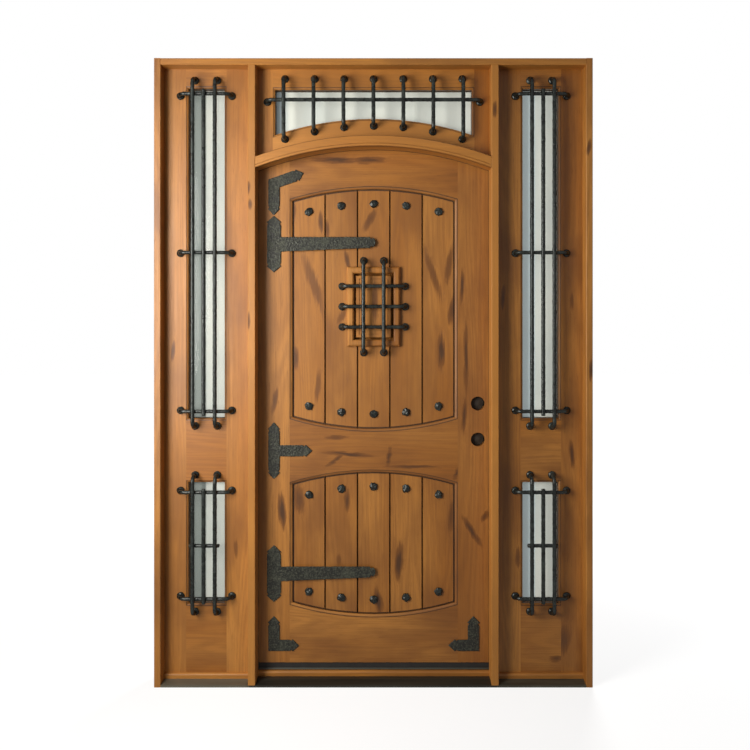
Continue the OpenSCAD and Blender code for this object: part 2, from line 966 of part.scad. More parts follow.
module lock_stile() {
    color(wood_leaf) difference() {
        leaf_stile();
        lock_bores();
    }
}

module door_top_rail() {
    color(wood_leaf) difference() {
        intersection() {
            leaf_blank(-face_half, face_half);
            top_rail_zone();
        }
        panel_cuts();
    }
}

module lock_rail() {
    color(wood_leaf) difference() {
        intersection() {
            leaf_blank(-face_half, face_half);
            lock_rail_zone();
        }
        panel_cuts();
    }
}

module door_bottom_rail() {
    color(wood_leaf) difference() {
        intersection() {
            leaf_blank(-face_half, face_half);
            bottom_rail_zone();
        }
        panel_cuts();
    }
}

// Boards of one panel, V-jointed on both faces and lapped behind the V, with their ends in the groove
module boards(bottom, top) {
    edge = groove_d - board_play;
    outer = lip_half + edge;
    profile = [
        [-margin_w, board_y0], [-margin_w, board_y0 + margin_d], [0, board_y0 + margin_d], [0, board_y0],
        [edge, board_y0], [edge, board_y1], [0, board_y1], [0, board_y1 - margin_d],
        [-margin_w, board_y1 - margin_d], [-margin_w, board_y1]
    ];
    mid_y = (board_y0 + board_y1) / 2;
    front_y1 = mid_y - board_gap / 2;
    back_y0 = mid_y + board_gap / 2;
    intersection() {
        panel_form(bottom, top, profile);
        for (i = [0:board_n - 1]) {
            first = i == 0;
            last = i == board_n - 1;
            x0 = first ? -outer : -lip_half + i * board_pitch + board_gap / 2;
            x1 = last ? outer : -lip_half + (i + 1) * board_pitch - board_gap / 2;
            b0 = first ? x0 : x0 + board_lap;
            b1 = last ? x1 : x1 + board_lap;
            v0 = first ? 0 : vee / 2;
            v1 = last ? 0 : vee / 2;
            translate([0, 0, bottom - over]) linear_extrude(top - bottom + 2 * over) polygon([
                [x0 + v0, board_y0], [x1 - v1, board_y0], [x1, board_y0 + vee], [x1, back_y0],
                [b1, back_y0], [b1, board_y1 - vee], [b1 - v1, board_y1], [b0 + v0, board_y1],
                [b0, board_y1 - vee], [b0, front_y1], [x0, front_y1], [x0, board_y0 + vee]
            ]);
        }
    }
}

module upper_boards() {
    color(wood_leaf) difference() {
        boards(upper_bottom, upper_top);
        span(
            [-peep_half - liner_w, board_y0 - over, peep_bottom - liner_w],
            [peep_half + liner_w, board_y1 + over, peep_top + liner_w]
        );
    }
}

module lower_boards() {
    color(wood_leaf) boards(lower_bottom, lower_top);
}

// Domed nail head standing on the boards
module clavo(x, z) {
    r = clavo_d / 2;
    rim = clavo_h * 0.25;
    translate([x, board_y0, z]) rotate([90, 0, 0]) rotate_extrude() polygon(concat(
        [[0, 0], [r, 0]],
        [for (i = [0:5]) let (a = 18 * i) [r * cos(a), rim + (clavo_h - rim) * sin(a)]]
    ));
}

module clavo_rows(bottom, top) {
    r = panel_r - clavo_inset;
    for (i = [-(board_n - 1) / 2:(board_n - 1) / 2]) {
        x = i * board_pitch;
        clavo(x, arc_up(top - clavo_inset, r, x));
        clavo(x, arc_down(bottom + clavo_inset, r, x));
    }
}

module clavos() {
    color(iron) {
        clavo_rows(upper_bottom, upper_top);
        clavo_rows(lower_bottom, lower_top);
    }
}

module door_sweep() {
    inset = 4;
    color(rubber) span(
        [-leaf_half + inset, leaf_y0 + inset, saddle_h + sweep_gap],
        [leaf_half - inset, leaf_y1 - 2 * inset, leaf_bottom]
    );
}

// Strap plates, drawn in X and Z and lying on the leaf's outdoor face

// Bar along +X from the origin with an arrow tip and a nick at each side before it
module arrow_bar(length, width) {
    neck = length - strap_tip;
    difference() {
        polygon([
            [0, -width / 2], [neck - 2 * nick_r, -width / 2], [neck, -width / 2 - tip_flare], [length, 0],
            [neck, width / 2 + tip_flare], [neck - 2 * nick_r, width / 2], [0, width / 2]
        ]);
        for (s = [-1, 1]) {
            translate([neck - 1.2 * nick_r, s * (width / 2 + tip_flare / 2)]) circle(r = nick_r);
        }
    }
}

// Tapered arm along +X whose upper edge is level, with a nicked round tip
module strap_arm(length) {
    neck = length - 0.36 * arm_end;
    tip_r = 0.56 * arm_end;
    difference() {
        union() {
            polygon([[0, -arm_root], [neck, -arm_end], [neck, 0], [0, 0]]);
            intersection() {
                translate([length - tip_r, -arm_end / 2]) circle(r = tip_r);
                translate([neck - over, -arm_end]) square([arm_end, arm_end]);
            }
        }
        for (z = [0, -arm_end]) {
            translate([neck, z]) circle(r = 1.4 * nick_r);
        }
    }
}

module strap_plate() {
    color(strap_iron) translate([0, leaf_y0, 0]) rotate([90, 0, 0]) linear_extrude(strap_t)
        children();
}

strap_x = strap_inset - leaf_half;
tee_top_z = upper_top - tee_drop;
tee_mid_z = (upper_bottom + lower_top) / 2;
tee_low_z = lower_bottom + tee_rise;
tip_gap = 1;

// Upright plate pointed at both ends
module tee_plate(width) {
    rotate(90) arrow_bar(tee_h / 2, width);
    rotate(-90) arrow_bar(tee_h / 2, width);
}

// An arm level with the speakeasy stops short of its grille, any other has its full length
peep_reach = peep_half + peep_out + disc_d / 2 + strap_clear;
peep_low = peep_bottom - casing_w - strap_clear;
peep_high = peep_top + casing_w + strap_clear;
function arm_fit(z) =
    z > peep_low && z - arm_root < peep_high ? min(arm_l, -peep_reach - strap_x) : arm_l;

module long_strap(z) {
    arm_z = z + tee_h / 2 - arm_drop;
    strap_plate() translate([strap_x, 0]) {
        translate([0, z]) tee_plate(tee_w);
        translate([0, arm_z]) strap_arm(arm_fit(arm_z));
    }
}

module upper_strap() {
    long_strap(tee_top_z);
}

module lower_strap() {
    long_strap(tee_low_z);
}

module middle_strap() {
    strap_plate() translate([strap_x, tee_mid_z]) {
        tee_plate(corner_w);
        arrow_bar(short_arm_l, corner_w);
    }
}

// The top corner plate stands tip to tip over the upper strap and follows the arch
module top_corner_strap() {
    foot = tee_top_z + tee_h / 2 + tip_gap;
    half = corner_w / 2;
    s = top_corner_slope;
    inner = corner_w * (cos(s) - (1 - sin(s)) * sin(s) / cos(s));
    strap_plate() translate([strap_x, foot]) {
        translate([0, strap_tip * 2]) rotate(-90) arrow_bar(strap_tip * 2, corner_w);
        polygon([
            [-half, strap_tip * 2 - over], [half, strap_tip * 2 - over],
            [half, top_corner_h - inner], [-half, top_corner_h]
        ]);
        translate([-half, top_corner_h]) rotate(s) translate([0, -half])
            arrow_bar(top_corner_l, corner_w);
    }
}

// Square corner plate with its outer corner at the origin and legs along +X and up
module corner_plate() {
    half = corner_w / 2;
    translate([0, half]) arrow_bar(corner_l, corner_w);
    translate([half, 0]) rotate(90) arrow_bar(corner_h, corner_w);
}

module bottom_left_corner_strap() {
    strap_plate() translate([strap_x - corner_w / 2, leaf_bottom + corner_rise]) corner_plate();
}

module bottom_right_corner_strap() {
    strap_plate() translate([corner_w / 2 - strap_x, leaf_bottom + corner_rise]) mirror([1, 0])
        corner_plate();
}

// Speakeasy

casing_profile = [
    [casing_w - 7, casing_y0], [casing_w - 2, casing_y0 + 4], [casing_w, casing_y0 + 9],
    [casing_w, board_y0], [liner_w, board_y0], [liner_w, board_y1], [casing_w, board_y1],
    [casing_w, leaf_y1 - ease], [casing_w - ease, leaf_y1]
];
peep_profile = concat(
    front_edge(casing_y0, 7, 10),
    [[0, ledge_y], [ledge_w, ledge_y], [ledge_w, leaf_y1 + over]]
);
catch_r = 2.5;
catch_h = 6;
catch_x = peep_half + ledge_w / 2;

module speakeasy_casing() {
    color(wood_leaf) difference() {
        rect_form(-peep_half, peep_half, peep_bottom, peep_top, casing_profile);
        rect_form(-peep_half, peep_half, peep_bottom, peep_top, peep_profile);
        translate([catch_x, ledge_y - catch_h, peep_mid]) rotate([-90, 0, 0])
            cylinder(r = catch_r + pin_play, h = catch_h + over);
    }
}

module speakeasy_catch() {
    color(hinge_metal) translate([catch_x, ledge_y - catch_h, peep_mid]) rotate([-90, 0, 0])
        cylinder(r = catch_r, h = catch_h);
}

// The small door carries a field that fills the opening and clears its edge when it swings
module speakeasy_door() {
    field_y0 = peep_y0 - field_rise;
    field_y1 = peep_y0 - board_gap;
    border = field_gap + field_border;
    color(wood_leaf) difference() {
        rect_form(-peep_half, peep_half, peep_bottom, peep_top, [
            [-field_gap - ease, field_y0], [-field_gap, field_y0 + ease], [-field_gap, field_y1]
        ]);
        difference() {
            rect_form(-peep_half, peep_half, peep_bottom, peep_top, [
                [-border, field_y0 - over], [-border, field_y0 + field_groove]
            ]);
            rect_form(-peep_half, peep_half, peep_bottom, peep_top, [
                [-border - field_groove, field_y0 - 2 * over],
                [-border - field_groove, field_y0 + field_groove + over]
            ]);
        }
    }
    half = peep_door_half;
    low = peep_bottom - ledge_w + peep_gap;
    high = peep_top + ledge_w - peep_gap;
    margin = 7;
    bevel = 10;
    bevel_d = 5;
    color(wood_leaf) difference() {
        span([-half, peep_y0, low], [half, peep_y1, high]);
        difference() {
            rect_form(-half, half, low, high, [
                [-margin, peep_y0 - over], [-margin, peep_y0 + bevel_d]
            ]);
            rect_form(-half, half, low, high, [
                [-margin - bevel, peep_y0 - 2 * over], [-margin - bevel, peep_y0],
                [-margin, peep_y0 + bevel_d], [-margin, peep_y0 + bevel_d + over]
            ]);
        }
    }
}

module speakeasy_knob() {
    color(iron) translate([peep_door_half - 16, peep_y1, peep_mid]) rotate([-90, 0, 0])
        rotate_extrude() polygon([
            [0, 0], [9, 0], [9, 2], [4.5, 4], [4.5, 11], [10, 14], [11, 18], [8, 22], [0, 23]
        ]);
}

module speakeasy_grille() {
    out = peep_out;
    color(iron) translate([0, board_y0, 0]) union() {
        for (s = [-1, 1]) {
            upright(s * peep_bar_pitch / 2, peep_bottom - out - 4, peep_top + out + 4);
        }
        for (i = [-1:1]) {
            cross_bar(peep_mid + i * peep_cross_pitch, -peep_half - out, peep_half + out);
        }
    }
}

// Hinges

hinge_x = -(leaf_half + leaf_gap / 2);
barrel_stand = 0.5;
hinge_y = leaf_y1 + barrel_r + barrel_stand;
knuckle_gap = 0.4;
hinge_low_z = leaf_bottom + hinge_foot;
hinge_high_z = leaf_top - hinge_crown;
hinge_zs = [hinge_low_z, (hinge_low_z + hinge_high_z) / 2, hinge_high_z];

// Mortises of the hinge leaves between two X planes
module hinge_plates(x0, x1, y1) {
    for (z = hinge_zs) {
        span([x0, leaf_y1 - hinge_leaf_w, z], [x1, y1, z + hinge_h]);
    }
}

// Hinge leaf: a plate and its own knuckles, bored for the pin.
// The plate is cut back where the other leaf's knuckles turn.
module hinge_leaf(x0, x1, y0, axis, height, n, own, r, bore) {
    step = height / n;
    difference() {
        union() {
            span([x0, y0, 0], [x1, axis[1], height]);
            for (k = [own:2:n - 1]) {
                translate([axis[0], axis[1], k * step + (k > 0 ? knuckle_gap / 2 : 0)])
                    cylinder(
                        r = r,
                        h = step - (k > 0 ? knuckle_gap / 2 : 0) - (k < n - 1 ? knuckle_gap / 2 : 0)
                    );
            }
        }
        for (k = [1 - own:2:n - 1]) {
            span(
                [axis[0] - r - 3, axis[1] - r - 0.4, k * step - knuckle_gap / 2],
                [axis[0] + r + 3, axis[1] + r + over, (k + 1) * step + knuckle_gap / 2]
            );
        }
        translate([axis[0], axis[1], -over]) cylinder(r = bore, h = height + 2 * over);
    }
}

module hinge_frame_leaves() {
    color(hinge_metal) for (z = hinge_zs) {
        translate([0, 0, z]) hinge_leaf(
            -rabbet_x - hinge_leaf_t, -rabbet_x, leaf_y1 - hinge_leaf_w, [hinge_x, hinge_y],
            hinge_h, 5, 0, barrel_r, pin_r + pin_play
        );
    }
}

module hinge_door_leaves() {
    color(hinge_metal) for (z = hinge_zs) {
        translate([0, 0, z]) hinge_leaf(
            -leaf_half, -leaf_half + hinge_leaf_t, leaf_y1 - hinge_leaf_w, [hinge_x, hinge_y],
            hinge_h, 5, 1, barrel_r, pin_r + pin_play
        );
    }
}

// Hinge pin with a button head that rests on the top knuckle
module pin(r, height, head_r, head_h) {
    cylinder(r = r, h = height + head_h / 2);
    translate([0, 0, height]) cylinder(r1 = head_r, r2 = head_r * 0.6, h = head_h);
}

module hinge_pins() {
    color(hinge_metal) for (z = hinge_zs) {
        translate([hinge_x, hinge_y, z]) pin(pin_r, hinge_h, barrel_r - 0.5, 4);
    }
}

peep_barrel_r = 4;
peep_pin_r = 2;
peep_leaf_t = 2;
peep_leaf_w = 16;
peep_hinge_x = -(pocket_half + peep_door_half) / 2;
peep_hinge_y = leaf_y1 + peep_barrel_r + 0.4;
peep_hinge_zs = [peep_bottom + peep_hinge_in, peep_top - peep_hinge_in - peep_hinge_h];

// Surface hinge: the plate lies on the indoor face and its barrel stands over the joint
module peep_leaf(side, own) {
    x0 = min(peep_hinge_x, peep_hinge_x + side * peep_leaf_w);
    x1 = max(peep_hinge_x, peep_hinge_x + side * peep_leaf_w);
    n = 3;
    step = peep_hinge_h / n;
    axis = [peep_hinge_x, peep_hinge_y];
    difference() {
        union() {
            span([x0, leaf_y1, 0], [x1, leaf_y1 + peep_leaf_t, peep_hinge_h]);
            for (k = [own:2:n - 1]) {
                translate([axis[0], axis[1], k * step + (k > 0 ? knuckle_gap / 2 : 0)])
                    cylinder(
                        r = peep_barrel_r,
                        h = step - (k > 0 ? knuckle_gap / 2 : 0) - (k < n - 1 ? knuckle_gap / 2 : 0)
                    );
            }
        }
        for (k = [1 - own:2:n - 1]) {
            span(
                [axis[0] - peep_barrel_r - 0.5, leaf_y1 - over, k * step - knuckle_gap / 2],
                [axis[0] + peep_barrel_r + 0.5, leaf_y1 + 9, (k + 1) * step + knuckle_gap / 2]
            );
        }
        translate([axis[0], axis[1], -over])
            cylinder(r = peep_pin_r + pin_play, h = peep_hinge_h + 2 * over);
    }
}

module speakeasy_casing_leaves() {
    color(hinge_metal) for (z = peep_hinge_zs) {
        translate([0, 0, z]) peep_leaf(-1, 0);
    }
}

module speakeasy_door_leaves() {
    color(hinge_metal) for (z = peep_hinge_zs) {
        translate([0, 0, z]) peep_leaf(1, 1);
    }
}

module speakeasy_hinge_pins() {
    color(hinge_metal) for (z = peep_hinge_zs) {
        translate([peep_hinge_x, peep_hinge_y, z])
            pin(peep_pin_r, peep_hinge_h, peep_barrel_r - 0.5, 2.5);
    }
}

left_jamb();
right_jamb();
left_mullion();
right_mullion();
head_jamb();
arched_transom_bar();
sill();
sill_beads();
door_weatherstrip();
transom_top_rail();
transom_left_stile();
transom_right_stile();
transom_arched_rail();
transom_glass();
transom_grille();
glazing_beads();
left_outer_stile();
left_inner_stile();
left_top_rail();
left_middle_rail();
left_bottom_rail();
left_upper_glass();
left_lower_glass();
left_upper_grille();
left_lower_grille();
right_outer_stile();
right_inner_stile();
right_top_rail();
right_middle_rail();
right_bottom_rail();
right_upper_glass();
right_lower_glass();
right_upper_grille();
right_lower_grille();
hinge_frame_leaves();
hinge_pins();
hinge_door_leaves();
hinge_stile();
lock_stile();
door_top_rail();
lock_rail();
door_bottom_rail();
upper_boards();
lower_boards();
clavos();
top_corner_strap();
upper_strap();
middle_strap();
lower_strap();
bottom_left_corner_strap();
bottom_right_corner_strap();
door_sweep();
speakeasy_casing();
speakeasy_grille();
speakeasy_casing_leaves();
speakeasy_hinge_pins();
speakeasy_catch();
speakeasy_door();
speakeasy_door_leaves();
speakeasy_knob();
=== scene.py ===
import json
import math
import random

import bmesh
import bpy
from mathutils import Matrix, Vector


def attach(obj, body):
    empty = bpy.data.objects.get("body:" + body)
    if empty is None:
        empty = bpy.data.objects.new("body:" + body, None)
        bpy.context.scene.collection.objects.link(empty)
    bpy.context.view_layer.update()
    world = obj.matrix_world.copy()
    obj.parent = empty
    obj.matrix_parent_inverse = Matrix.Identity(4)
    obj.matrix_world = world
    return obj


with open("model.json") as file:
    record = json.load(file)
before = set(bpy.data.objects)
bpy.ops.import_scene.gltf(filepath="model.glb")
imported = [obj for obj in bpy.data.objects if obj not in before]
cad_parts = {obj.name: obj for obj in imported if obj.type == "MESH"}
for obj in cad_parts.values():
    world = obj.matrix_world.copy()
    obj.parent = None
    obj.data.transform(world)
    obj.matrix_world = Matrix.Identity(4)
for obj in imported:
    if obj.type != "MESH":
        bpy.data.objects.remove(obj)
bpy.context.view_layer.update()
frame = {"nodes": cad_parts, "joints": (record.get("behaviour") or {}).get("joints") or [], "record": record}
nodes = frame["nodes"]
scene = bpy.context.scene

# Planes and places of the part, in metres, read from the CAD nodes

X, Y, Z = 0, 1, 2


def span(name, axis):
    """Least and greatest coordinate of a node along an axis."""
    values = [corner[axis] for corner in nodes[name].bound_box]
    return round(min(values), 6), round(max(values), 6)


FRONT = span("left_jamb", Y)[0]
SIDE = span("left_outer_stile", Y)[0]
LEAF, LEAF_BACK = span("hinge_stile", Y)
BOARD, BOARD_BACK = span("upper_boards", Y)
HATCH = span("speakeasy_door", Y)[0]
PANE = span("left_upper_glass", Y)[1]
OPENING_LEFT = span("arched_transom_bar", X)[0]
LEAF_LEFT, PANEL_LEFT = span("hinge_stile", X)
PANEL_RIGHT = span("lock_stile", X)[0]
BOARD_COUNT = 5
BOARD_PITCH = (PANEL_RIGHT - PANEL_LEFT) / BOARD_COUNT
BORES = [mount["pos_m"] for mount in frame["record"]["mounts"] if mount["kind"] == "bore"]
PINS = {joint["name"]: joint["pos_m"] for joint in frame["joints"]}

# Photograph's viewpoint: level camera in front of the unit

PICTURE = 750
EYE_COLUMN = 385
EYE_ROW = 320
PIXEL = 0.00379
FACE_DISTANCE = 2.660
CAM = Vector((0.044, FRONT - FACE_DISTANCE, 1.393))


def spots(y, rows):
    """Places and sizes on the plane at depth y, from rows of picture column, picture row,
    half width and half length in pixels, tilt in degrees and strength."""
    pixel = PIXEL * (y - CAM.y) / FACE_DISTANCE
    placed = []
    for column, row, half_width, half_length, tilt, strength in rows:
        x = CAM.x + (column - EYE_COLUMN) * pixel
        z = CAM.z - (row - EYE_ROW) * pixel
        placed.append((x, z, half_width * pixel, half_length * pixel, tilt, strength))
    return placed


def srgb(r, g, b):
    """Linear colour of an 8-bit display colour."""
    out = []
    for c in (r, g, b):
        c = c / 255
        out.append(c / 12.92 if c <= 0.04045 else ((c + 0.055) / 1.055) ** 2.4)
    return (*out, 1.0)


# Node helpers

class Tree:
    """Shader nodes of one material or world."""

    def __init__(self, owner, output="ShaderNodeOutputMaterial"):
        owner.use_nodes = True
        self.owner = owner
        self.nodes = owner.node_tree.nodes
        self.links = owner.node_tree.links
        self.nodes.clear()
        self.out = self.nodes.new(output)

    def node(self, kind, **props):
        n = self.nodes.new(kind)
        for k, v in props.items():
            setattr(n, k, v)
        return n

    def put(self, value, socket):
        """Links an output to a socket, or sets the socket to a constant."""
        if isinstance(value, bpy.types.NodeSocket):
            self.links.new(value, socket)
        else:
            socket.default_value = value

    def math(self, op, a, b=0.0):
        n = self.node("ShaderNodeMath", operation=op)
        self.put(a, n.inputs[0])
        self.put(b, n.inputs[1])
        return n.outputs[0]

    def vec(self, op, a, b=(0, 0, 0)):
        n = self.node("ShaderNodeVectorMath", operation=op)
        self.put(a, n.inputs[0])
        self.put(b, n.inputs[1])
        return n.outputs["Value" if op == "LENGTH" else "Vector"]

    def split(self, vector):
        n = self.node("ShaderNodeSeparateXYZ")
        self.put(vector, n.inputs[0])
        return n.outputs

    def join(self, x=0.0, y=0.0, z=0.0):
        n = self.node("ShaderNodeCombineXYZ")
        for value, socket in zip((x, y, z), n.inputs):
            self.put(value, socket)
        return n.outputs[0]

    def ramp(self, value, a, b, lo=0.0, hi=1.0, kind="SMOOTHSTEP"):
        """Clamped change from lo to hi as a value goes from a to b."""
        n = self.node("ShaderNodeMapRange", interpolation_type=kind)
        for i, v in enumerate((value, a, b, lo, hi)):
            self.put(v, n.inputs[i])
        return n.outputs[0]

    def noise(self, vector, scale=1.0, detail=2.0, rough=0.5):
        n = self.node("ShaderNodeTexNoise")
        self.put(vector, n.inputs["Vector"])
        n.inputs["Scale"].default_value = scale
        n.inputs["Detail"].default_value = detail
        n.inputs["Roughness"].default_value = rough
        return n.outputs[0]

    def jitter(self, vector, scale=1.0):
        """Random vector about zero."""
        n = self.node("ShaderNodeTexNoise")
        self.put(vector, n.inputs["Vector"])
        n.inputs["Scale"].default_value = scale
        return self.vec("SUBTRACT", n.outputs["Color"], (0.5, 0.5, 0.5))

    def cells(self, vector, scale):
        n = self.node("ShaderNodeTexVoronoi", feature="SMOOTH_F1")
        self.put(vector, n.inputs["Vector"])
        n.inputs["Scale"].default_value = scale
        return n.outputs["Distance"]

    def mix(self, factor, a, b):
        n = self.node("ShaderNodeMix", data_type="RGBA")
        self.put(factor, n.inputs[0])
        self.put(a, n.inputs[6])
        self.put(b, n.inputs[7])
        return n.outputs[2]

    def tint(self, colour, layer, start, full, most, shade):
        """Colour that turns towards a shade, at most by a share, as a layer goes from start to full."""
        return self.mix(self.ramp(layer, start, full, 0.0, most), colour, shade)

    def bump(self, height, distance, strength):
        n = self.node("ShaderNodeBump")
        n.inputs["Strength"].default_value = strength
        n.inputs["Distance"].default_value = distance
        self.put(height, n.inputs["Height"])
        return n.outputs[0]

    def principled(self, **inputs):
        n = self.node("ShaderNodeBsdfPrincipled")
        for k, v in inputs.items():
            self.put(v, n.inputs[k.replace("_", " ")])
        self.links.new(n.outputs[0], self.out.inputs[0])
        return n

    def coords(self, kind="Object"):
        return self.node("ShaderNodeTexCoord").outputs[kind]


def material(name):
    return Tree(bpy.data.materials.new(name))


def paint(names, mat):
    for n in names:
        o = nodes[n]
        o.data.materials.clear()
        o.data.materials.append(mat)


# Knotty wood

LIGHT = srgb(200, 136, 61)
MID = srgb(165, 102, 31)
DEEP = srgb(106, 60, 19)
STREAK = srgb(108, 62, 12)
KNOT = srgb(60, 32, 3)
# Colour of the glaze, which also paints the shade in joints, quirks and recesses
GLAZE_AND_SHADE = srgb(46, 23, 4)

# Noise layers: scale across the grain, scale along it, detail and roughness
LAYERS = {
    "broad": (5.0, 0.9, 2.0, 0.5),
    "cloud": (6.0, 2.6, 3.0, 0.55),
    "figure": (7.0, 0.62, 2.0, 0.45),
    "fibre": (260.0, 5.0, 3.0, 0.6),
    "pores": (620.0, 26.0, 1.0, 0.5),
    "streak": (16.0, 1.1, 3.0, 0.55),
    "fray": (170.0, 12.0, 3.0, 0.65),
}
RING_DENSITY = 105.0
GRAIN_REACH = 9
BOARD_SHIFT = (1.37, 2.11, 5.3)
BOARD_CONTRAST = 0.28
WOBBLE_SCALE = (60, 60, 14)
WOBBLE = (0.006, 0, 0.02)
FRAY = 1.3
KNOT_WIDER = 1.3
KNOT_LONGER = 1.05
KNOT_THROUGH = 50.0
KNOT_EDGE = (1.6, 0.15)
KNOT_PUSH = 0.05
SEED_STEP = 7919
SEED_START = 13
FIBRE_RISE = 0.7
RING_RISE = 0.25
PORE_SINK = 0.5
KNOT_SINK = 0.4

# Depths below a face, in metres, between which glaze and painted shade start and end
QUIRK_START = (0.0003, 0.0010)
QUIRK_END = (0.0022, 0.0015)
QUIRK_LEFT = 0.12
FOOT_START = (0.0066, 0.0084)
FOOT_END = (0.0200, 0.0150)
JOINT_START = (0.0003, 0.0012)


def layer(t, grain, kind):
    across, along, detail, rough = LAYERS[kind]
    return t.noise(t.vec("MULTIPLY", grain, (across, across, along)), 1.0, detail, rough)


def glaze_and_shade(t, depth, boards):
    """Where glaze and painted shade gather: in the joints of boards, or in the quirk and at the foot of a
    moulding.
    """
    if boards:
        return t.ramp(depth, *JOINT_START)
    quirk = t.math("MULTIPLY", t.ramp(depth, *QUIRK_START), t.ramp(depth, *QUIRK_END, QUIRK_LEFT, 1.0))
    foot = t.math("MULTIPLY", t.ramp(depth, *FOOT_START), t.ramp(depth, *FOOT_END))
    return t.math("MAXIMUM", quirk, foot)


def knot_mask(t, pos, grain, knots):
    """Frayed ellipses in the X and Z directions, as placed by spots."""
    bent = t.vec("ADD", pos, t.vec("MULTIPLY", t.jitter(t.vec("MULTIPLY", grain, WOBBLE_SCALE)), WOBBLE))
    fray = t.math("MULTIPLY", t.math("SUBTRACT", layer(t, grain, "fray"), 0.5), FRAY)
    mask = 0.0
    for x, z, half_width, half_length, tilt, strength in knots:
        m = t.node("ShaderNodeMapping", vector_type="TEXTURE")
        t.put(bent, m.inputs[0])
        m.inputs["Location"].default_value = (x, 0, z)
        m.inputs["Rotation"].default_value = (0, math.radians(tilt), 0)
        size = (half_width * KNOT_WIDER, KNOT_THROUGH, half_length * KNOT_LONGER)
        m.inputs["Scale"].default_value = size
        distance = t.math("ADD", t.vec("LENGTH", m.outputs[0]), fray)
        mask = t.math("MAXIMUM", mask, t.ramp(distance, *KNOT_EDGE, 0.0, strength))
    return mask


def wood(name, along, seed, knots=(), face=None, back=None, glaze_and_shade_strength=0.85, tone=0.0, pitch=None):
    """Knotty wood with its grain along the X or Z axis of the part.
    face and back are the Y planes from which the surface sinks into mouldings, darkened by glaze and painted
    shade.
    tone darkens above zero and lightens below.
    pitch is that of boards whose grain differs from one to the next."""
    t = material(name)
    rnd = random.Random(seed * SEED_STEP + SEED_START)
    pos = t.coords()
    x, y, z = t.split(pos)
    grain = t.join(x, y, z) if along == "Z" else t.join(z, y, x)
    grain = t.vec("ADD", grain, [rnd.uniform(-GRAIN_REACH, GRAIN_REACH) for _ in range(3)])
    if pitch:
        board = t.math("FLOOR", t.math("ADD", t.math("DIVIDE", x, pitch), 0.5))
        grain = t.vec("ADD", grain, t.vec("MULTIPLY", t.join(board, board, board), BOARD_SHIFT))

    # The grain bends round the knots
    if knots:
        mask = knot_mask(t, pos, grain, knots)
        grain = t.vec("ADD", grain, t.join(t.math("MULTIPLY", mask, KNOT_PUSH)))

    rings = t.math("SINE", t.math("MULTIPLY", layer(t, grain, "figure"), RING_DENSITY))
    rings = t.ramp(rings, -1.0, 1.0)
    fibre = layer(t, grain, "fibre")
    pores = layer(t, grain, "pores")

    colour = t.tint(LIGHT, layer(t, grain, "broad"), 0.3, 0.72, 1.0, MID)
    colour = t.tint(colour, layer(t, grain, "cloud"), 0.40, 0.72, 0.6, DEEP)
    colour = t.mix(t.math("MULTIPLY", rings, 0.2), colour, DEEP)
    colour = t.tint(colour, fibre, 0.42, 0.72, 0.26, DEEP)
    colour = t.tint(colour, pores, 0.62, 0.74, 0.4, STREAK)
    colour = t.tint(colour, layer(t, grain, "streak"), 0.63, 0.8, 0.6, STREAK)
    # Tone of the whole piece: partly its own shade of wood, partly painted light and shade
    if tone:
        colour = t.mix(abs(tone), colour, DEEP if tone > 0 else LIGHT)
    if pitch:
        chance = t.node("ShaderNodeTexWhiteNoise", noise_dimensions="1D")
        t.put(t.math("ADD", board, seed + 0.5), chance.inputs["W"])
        colour = t.mix(t.math("MULTIPLY", chance.outputs["Value"], BOARD_CONTRAST), colour, DEEP)
    if knots:
        colour = t.tint(colour, mask, 0.05, 0.5, 0.85, STREAK)
        colour = t.tint(colour, mask, 0.5, 1.0, 0.85, KNOT)
    # Glaze and painted shade: darker where the surface sinks below the face or the back
    if face is not None:
        dark = glaze_and_shade(t, t.math("SUBTRACT", y, face), pitch)
        if back is not None:
            indoors = t.math("GREATER_THAN", y, (face + back) / 2)
            dark = t.math("MULTIPLY", dark, t.math("SUBTRACT", 1.0, indoors))
            rear = glaze_and_shade(t, t.math("SUBTRACT", back, y), pitch)
            dark = t.math("ADD", dark, t.math("MULTIPLY", rear, indoors))
        colour = t.mix(t.math("MULTIPLY", dark, glaze_and_shade_strength), colour, GLAZE_AND_SHADE)

    height = t.math("ADD", t.math("MULTIPLY", fibre, FIBRE_RISE), t.math("MULTIPLY", rings, RING_RISE))
    height = t.math("SUBTRACT", height, t.ramp(pores, 0.6, 0.75, 0.0, PORE_SINK))
    if knots:
        height = t.math("SUBTRACT", height, t.math("MULTIPLY", mask, KNOT_SINK))
    t.principled(
        Base_Color=colour,
        Roughness=t.ramp(fibre, 0.3, 0.7, 0.40, 0.56),
        Normal=t.bump(height, 0.0004, 0.55),
        Coat_Weight=0.38,
        Coat_Roughness=0.46,
        Specular_IOR_Level=0.32,
    )
    return t.owner


# Finishes of the wooden pieces
PLAIN = {}
BAR = {"face": FRONT, "glaze_and_shade_strength": 0.7}
PANEL = {"face": SIDE}
DOOR = {"face": LEAF, "back": LEAF_BACK}
BOARDS = {"face": BOARD, "back": BOARD_BACK, "pitch": BOARD_PITCH}
FIELD = {"face": HATCH, "glaze_and_shade_strength": 0.55}
